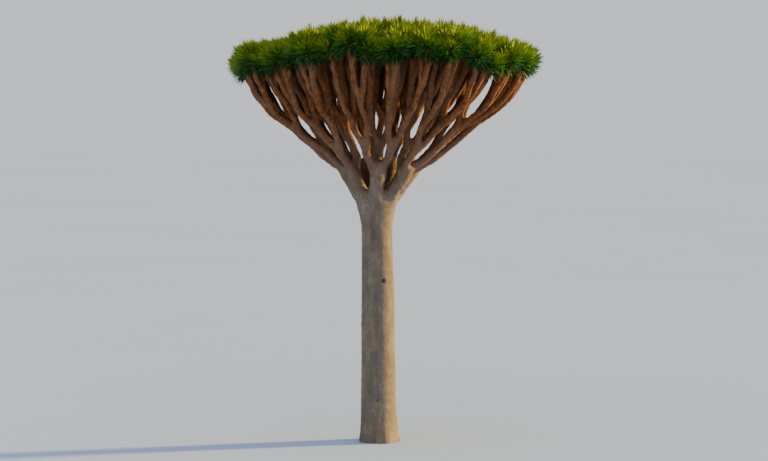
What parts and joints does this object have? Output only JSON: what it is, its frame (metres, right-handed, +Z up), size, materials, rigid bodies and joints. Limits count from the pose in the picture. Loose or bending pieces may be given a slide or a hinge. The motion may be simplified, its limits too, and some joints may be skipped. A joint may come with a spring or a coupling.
{
  "type": "dragon blood tree",
  "caption": "Umbrella-shaped dragon blood tree: smooth pale trunk, thick boughs forking into a dense inverted cone, and a dense low dome of sword-leaf rosettes.",
  "frame": {"origin": "centre of the flat cut where the trunk meets level ground", "axes": "+Z up along the trunk; X is across the view, with the picture's right at +X; +Y points away from the picture's viewer"},
  "size_m": [6.1178, 5.6723, 7.7721],
  "materials": {
    "bark": "smooth pale grey-brown bark with small dark scars and faint rings",
    "bough_bark": "warm reddish-brown bark, ringed and slightly cracked",
    "foliage": "leathery sword leaves, yellow-green at the top and deep green below"
  },
  "bodies": {
    "root": {"trunk": "bark", "main_bough_01": "bough_bark", "main_bough_02": "bough_bark", "main_bough_03": "bough_bark", "main_bough_04": "bough_bark", "main_bough_05": "bough_bark", "main_bough_06": "bough_bark", "main_bough_07": "bough_bark", "main_bough_08": "bough_bark", "branch_bough_01": "bough_bark", "branch_bough_02": "bough_bark", "branch_bough_03": "bough_bark", "branch_bough_04": "bough_bark", "branch_bough_05": "bough_bark", "branch_bough_06": "bough_bark", "branch_bough_07": "bough_bark", "branch_bough_08": "bough_bark", "branch_bough_09": "bough_bark", "branch_bough_10": "bough_bark", "branch_bough_11": "bough_bark", "branch_bough_12": "bough_bark", "branch_bough_13": "bough_bark", "branch_bough_14": "bough_bark", "branch_bough_15": "bough_bark", "branch_bough_16": "bough_bark", "branch_bough_17": "bough_bark", "branch_bough_18": "bough_bark", "branch_bough_19": "bough_bark", "branch_bough_20": "bough_bark", "branch_bough_21": "bough_bark", "branch_bough_22": "bough_bark", "branch_bough_23": "bough_bark", "branch_bough_24": "bough_bark", "leaf_mass_01": "foliage", "leaf_mass_02": "foliage", "leaf_mass_03": "foliage", "leaf_mass_04": "foliage", "leaf_mass_05": "foliage", "leaf_mass_06": "foliage", "leaf_mass_07": "foliage", "leaf_mass_08": "foliage", "leaf_mass_09": "foliage", "leaf_mass_10": "foliage", "leaf_mass_11": "foliage", "leaf_mass_12": "foliage", "leaf_mass_13": "foliage", "leaf_mass_14": "foliage", "leaf_mass_15": "foliage", "leaf_mass_16": "foliage", "leaf_mass_17": "foliage", "leaf_mass_18": "foliage", "leaf_mass_19": "foliage", "leaf_mass_20": "foliage", "leaf_mass_21": "foliage", "leaf_mass_22": "foliage", "leaf_mass_23": "foliage", "leaf_mass_24": "foliage"}
  },
  "joints": []
}
